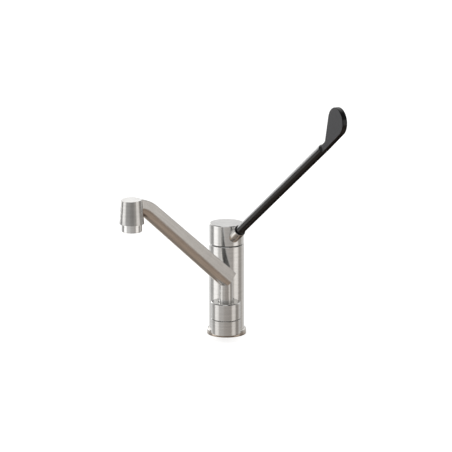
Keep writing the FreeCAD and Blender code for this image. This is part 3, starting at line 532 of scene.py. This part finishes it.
def dress(finish, *names):
    """Gives solid parts their finish."""
    for name in names:
        piece = frame["nodes"][name]
        if not piece.material_slots:
            piece.data.materials.append(None)
        for slot in piece.material_slots:
            slot.material = finish
    print(finish.name, "on", ", ".join(names))


print("steel ready")

# %% [markdown]
# ## Column and base flange
#
# The column is a thick tube, turned and then brushed on the lathe with a fine abrasive pad.
# It is a clean and even surface that shows bright, sharp stripes. The flange is a separate
# low ring from the same lathe, polished a little more.

# %% Dress the column and the flange
steel_tone = (0.665, 0.657, 0.640)
bright_tone = (0.785, 0.778, 0.762)
painted_reflection_height = 0.008  # above it the flange has its plain tone


def flange_painted_reflection(tree):
    """The flange's lowest edge is painted brown: a painted reflection of the worktop right
    beside it.
    """
    place = node(tree, "ShaderNodeTexCoord").outputs["Object"]
    rise = node(tree, "ShaderNodeSeparateXYZ", Vector=place).outputs["Z"]
    share = maths(tree, "DIVIDE", rise, painted_reflection_height)
    return ramp(tree, share, [(0.05, (0.42, 0.34, 0.27)), (0.22, (0.74, 0.66, 0.59)),
                              (0.80, (1.0, 0.985, 0.965))])


column_steel = turned_steel("column_steel", column_axis, bright_tone, 0.17)
# The flange's brown lowest edge is a painted reflection of the worktop
flange_steel = turned_steel("flange_steel", column_axis, (0.680, 0.670, 0.650), 0.15,
                            streaks=0.04, tint=flange_painted_reflection)
dress(column_steel, "column_body")
dress(flange_steel, "base_flange")

# %% [markdown]
# ## Lever cap
#
# The cap's side is brushed like the column's. Its flat top shows rings round the middle,
# because it was faced on the same lathe: the scratches' coordinates grow with the radius as
# well as with the height, so one finish does both.

# %% Dress the cap
cap_steel = turned_steel("cap_steel", column_axis, bright_tone, 0.16, scratch=0.12)
dress(cap_steel, "lever_cap")

# %% [markdown]
# ## Barrel: socket and swivel collar
#
# The barrel in front of the column has its own axis, so its scratches run round that one. The
# collar turns in use and its brushing is worn a little smoother than the socket's.

# %% Dress the barrel
socket_steel = turned_steel("socket_steel", barrel_axis, steel_tone, 0.18)
collar_steel = turned_steel("collar_steel", barrel_axis, (0.670, 0.662, 0.646), 0.16)
dress(socket_steel, "spout_socket")
dress(collar_steel, "swivel_collar")

# %% [markdown]
# ## Spout
#
# The spout is welded from three pieces and ground until it looks like one. Its arm was ground
# along its length on a belt, while the outlet head and the riser post were brushed round. One
# material with three sets of scratches, chosen by where the point lies, keeps the blends soft
# as on the real piece. The belt leaves the arm duller than the turned parts, with long faint
# streaks.

# %% Dress the spout
arm_turn = (0.0, -spout_slope, math.atan2(spout_out.y, spout_out.x))
# How far the head reaches round its axis, the way its front looks, and the post's height
head_radius = 0.0160
head_front = (-0.139, -0.990, 0.0)
head_top_painted_highlight = (1.45, 1.45, 1.45, 1.0)
post_top = 0.0735
blend_width = 0.0008


def inside(tree, distance, limit):
    """One where the distance is below the limit and nought above it, with a soft edge."""
    edge = node(tree, "ShaderNodeMapRange", Value=distance)
    edge.inputs["From Min"].default_value = limit - blend_width
    edge.inputs["From Max"].default_value = limit + blend_width
    edge.inputs["To Min"].default_value = 1.0
    edge.inputs["To Max"].default_value = 0.0
    return edge.outputs["Result"]


def spout_lines(tree):
    """The scratches of arm, head and post, each where its part of the spout is."""
    arm = straight_lines(tree, barrel_axis, arm_turn)
    head = turned_lines(tree, head_axis)
    post = turned_lines(tree, barrel_axis)
    from_head, height = axis_place(tree, own_place(tree, head_axis, upright))
    in_head = inside(tree, from_head, head_radius)
    in_post = inside(tree, height, post_top)
    mixed = []
    for on_arm, on_head, on_post in zip(arm, head, post):
        upper = blend(tree, in_head, on_arm, on_head, "VECTOR")
        mixed.append(blend(tree, in_post, upper, on_post, "VECTOR"))
    return mixed


def spout_painted_light(tree):
    """Painted shade makes the head darker than the arm in front, and a painted highlight
    brightens its flat top.
    """
    from_head, _ = axis_place(tree, own_place(tree, head_axis, upright))
    in_head = inside(tree, from_head, head_radius)
    normal = node(tree, "ShaderNodeTexCoord").outputs["Normal"]
    upward = node(tree, "ShaderNodeSeparateXYZ", Vector=normal).outputs["Z"]
    is_top = ramp(tree, upward, [(0.60, grey(0.0)), (0.92, grey(1.0))])
    forward = vectors(tree, "DOT_PRODUCT", normal, head_front)
    side = ramp(tree, forward, [(0.88, grey(1.0)), (0.95, grey(0.70))])
    return blend(tree, in_head, WHITE, blend(tree, is_top, side, head_top_painted_highlight))


# The head's tone carries painted shade at its front and a painted highlight on its top
spout_steel = brushed_steel("spout_steel", spout_lines, (0.660, 0.650, 0.632), 0.22,
                            streaks=0.06, clouds=0.07, scratch=0.12, tint=spout_painted_light)
dress(spout_steel, "spout_arm")

# %% [markdown]
# ## Aerator
#
# The aerator's housing is a small bright ring screwed into the head. It is polished on a
# wheel instead of brushed, so its scratches are much weaker. Inside sits the jet plate, a
# grey moulded disc with a faint grain.

# %% Dress the aerator's housing
aerator_steel = turned_steel("aerator_steel", head_axis, (0.82, 0.81, 0.795), 0.10,
                             streaks=0.02, clouds=0.02, scratch=0.05, stretched=0.35)
dress(aerator_steel, "aerator_housing")

# %% [markdown]
# ## Lever socket
#
# The bright boss that carries the lever is turned as well, but about the lever's own sloping
# line. Its frame has its Z axis along the lever.

# %% Dress the lever socket
lever_frame = tuple(lever_along.to_track_quat("Z", "Y").to_euler())
boss_steel = turned_steel("boss_steel", lever_start, (0.690, 0.680, 0.660), 0.14,
                          turn=lever_frame, streaks=0.03)
dress(boss_steel, "lever_socket")

# %% [markdown]
# ## Trim sleeve and small steel parts
#
# The sleeve that shows in the seam under the cap is polished, and its dark tone is painted
# shade for the seam. The stud, the grub screw, the pin, the stem and the retaining ring are
# machined steel: they are never seen in use, and keep the coarser marks of the tool.

# %% Dress the small steel parts
# The trim sleeve's dark tone is painted shade for the seam under the cap
trim_painted_shade = turned_steel("trim_painted_shade", column_axis, (0.12, 0.12, 0.12), 0.15,
                          streaks=0.02, scratch=0.04)
tool_marks = turned_steel("tool_marks", column_axis, (0.52, 0.52, 0.53), 0.28,
                          streaks=0.08, scratch=0.25)
stud_steel = turned_steel("stud_steel", lever_start, (0.50, 0.50, 0.51), 0.30,
                          turn=lever_frame, streaks=0.08, scratch=0.25)
spring_steel = turned_steel("spring_steel", barrel_axis, (0.42, 0.41, 0.40), 0.25,
                            scratch=0.15)
dress(trim_painted_shade, "trim_sleeve")
dress(tool_marks, "cartridge_stem", "stem_pivot_pin", "cap_grub_screw")
dress(stud_steel, "lever_stud")
dress(spring_steel, "swivel_retaining_ring")

# %% [markdown]
# ## Brass
#
# The spigot and the cartridge's nut are turned from brass bar. Raw brass in a tap is bright
# yellow where the tool cut it and browner where it was handled, so a slow noise pulls the
# tone between the two.

# %% Dress the brass parts
for name, centre, piece in (("spigot_brass", barrel_axis, "swivel_spigot"),
                            ("nut_brass", column_axis, "cartridge_nut")):
    dress(turned_steel(name, centre, (0.76, 0.58, 0.28), 0.26,
                       streaks=0.10, clouds=0.18, scratch=0.20), piece)

# %% [markdown]
# ## Black plastic lever
#
# The lever is one moulding in black plastic. It isn't quite black: the skin has a fine grain
# from the mould that scatters a soft grey light, it is a little shinier where hands and
# elbows rub it, and the paddle's two flat faces are matt and a little lighter. The grain is a
# small-scale noise in the bump, the rubbed places a large one in the roughness.

# %% Mix the plastics
WEAR_SCALE = 32.0
# The paddle begins this far along the lever, and its faces have their own finish
paddle_start = 0.304
face_color = (0.044, 0.044, 0.048, 1.0)
face_roughness = 0.55


def moulded(name, color, roughness, grain=0.12, rubbed=0.25, mottle=0.06, gloss=0.5,
            grain_scale=1500.0):
    """Plastic, rubber or ceramic with a grain in its skin and places rubbed smoother."""
    finish, tree, shader = new_finish(name)
    place = node(tree, "ShaderNodeTexCoord").outputs["Object"]
    skin = node(tree, "ShaderNodeTexNoise", Vector=place, Scale=grain_scale, Detail=2.0,
                Roughness=0.5).outputs["Fac"]
    wear = node(tree, "ShaderNodeTexNoise", Vector=place, Scale=WEAR_SCALE, Detail=4.0,
                Roughness=0.6).outputs["Fac"]
    plug(tree, stretch(tree, wear, roughness * (1.0 - rubbed), roughness * (1.0 + rubbed)),
         shader.inputs["Roughness"])
    dark = tuple(c * (1.0 - mottle) for c in color)
    light = tuple(min(c * (1.0 + mottle), 1.0) for c in color)
    plug(tree, ramp(tree, wear, [(0.35, dark), (0.65, light)]), shader.inputs["Base Color"])
    bump = node(tree, "ShaderNodeBump", Height=skin, Strength=grain, Distance=BUMP_HEIGHT)
    plug(tree, bump.outputs["Normal"], shader.inputs["Normal"])
    shader.inputs["Specular IOR Level"].default_value = gloss
    return finish


def matt_faces(finish):
    """Makes the paddle's two flat faces matt and a little lighter than the rod."""
    tree = finish.node_tree
    shader = tree.nodes["Principled BSDF"]
    coordinates = node(tree, "ShaderNodeTexCoord").outputs
    along = vectors(tree, "DOT_PRODUCT", coordinates["Object"], tuple(lever_along))
    beyond = maths(tree, "GREATER_THAN", along, lever_start.dot(lever_along) + paddle_start)
    facing = vectors(tree, "DOT_PRODUCT", coordinates["Normal"], tuple(lift_axis))
    facing = maths(tree, "ABSOLUTE", facing)
    facing = ramp(tree, facing, [(0.86, grey(0.0)), (0.97, grey(1.0))])
    share = maths(tree, "MULTIPLY", beyond, facing)
    for name, matt in (("Base Color", face_color), ("Roughness", face_roughness)):
        glossy = shader.inputs[name].links[0].from_socket
        kind = "RGBA" if name == "Base Color" else "FLOAT"
        plug(tree, blend(tree, share, glossy, matt, kind), shader.inputs[name])


lever_plastic = moulded("lever_plastic", (0.002, 0.002, 0.0025), 0.22, gloss=0.38)
matt_faces(lever_plastic)
bush_plastic = moulded("bush_plastic", (0.003, 0.003, 0.004), 0.20, gloss=0.2)
dress(lever_plastic, "elbow_lever")
dress(bush_plastic, "lever_bush")

# %% [markdown]
# ## Rubber
#
# Gaskets and seals are black rubber: matt, with a dusty bloom that lightens the black
# unevenly. The same builder serves, with a rough skin and hardly any gloss.

# %% Dress the rubber parts
seal_rubber = moulded("seal_rubber", (0.022, 0.022, 0.023), 0.75, grain=0.3, mottle=0.35,
                      gloss=0.25, grain_scale=900.0)
dress(seal_rubber, "base_gasket", "swivel_seal_lower", "swivel_seal_upper",
      "cartridge_port_seals", "aerator_gasket")

# %% [markdown]
# ## Moulded parts inside
#
# The cartridge's housing and the glide ring are white engineering plastic with a waxy shine,
# the carriers inside it a creamier grade, and the jet plate is grey.

# %% Dress the moulded parts
housing_plastic = moulded("housing_plastic", (0.78, 0.78, 0.76), 0.42, mottle=0.03)
carrier_plastic = moulded("carrier_plastic", (0.74, 0.71, 0.62), 0.38, mottle=0.04)
glide_plastic = moulded("glide_plastic", (0.80, 0.80, 0.78), 0.30, mottle=0.02)
jet_plastic = moulded("jet_plastic", (0.36, 0.37, 0.38), 0.40, mottle=0.05)
dress(housing_plastic, "cartridge_shell", "cartridge_base")
dress(carrier_plastic, "stem_carrier", "disc_carrier")
dress(glide_plastic, "swivel_glide_ring")
dress(jet_plastic, "aerator_insert")

# %% [markdown]
# ## Ceramic discs
#
# The two discs that meter the water are sintered ceramic, ground and lapped until they seal
# against each other dry. Lapping leaves an even, glassy surface with faint speckles from the
# grains, so the noise is tiny and the gloss high.

# %% Dress the discs
disc_ceramic = moulded("disc_ceramic", (0.82, 0.79, 0.73), 0.14, grain=0.03, rubbed=0.15,
                       mottle=0.03, gloss=0.65, grain_scale=2600.0)
dress(disc_ceramic, "fixed_ceramic_disc", "moving_ceramic_disc")
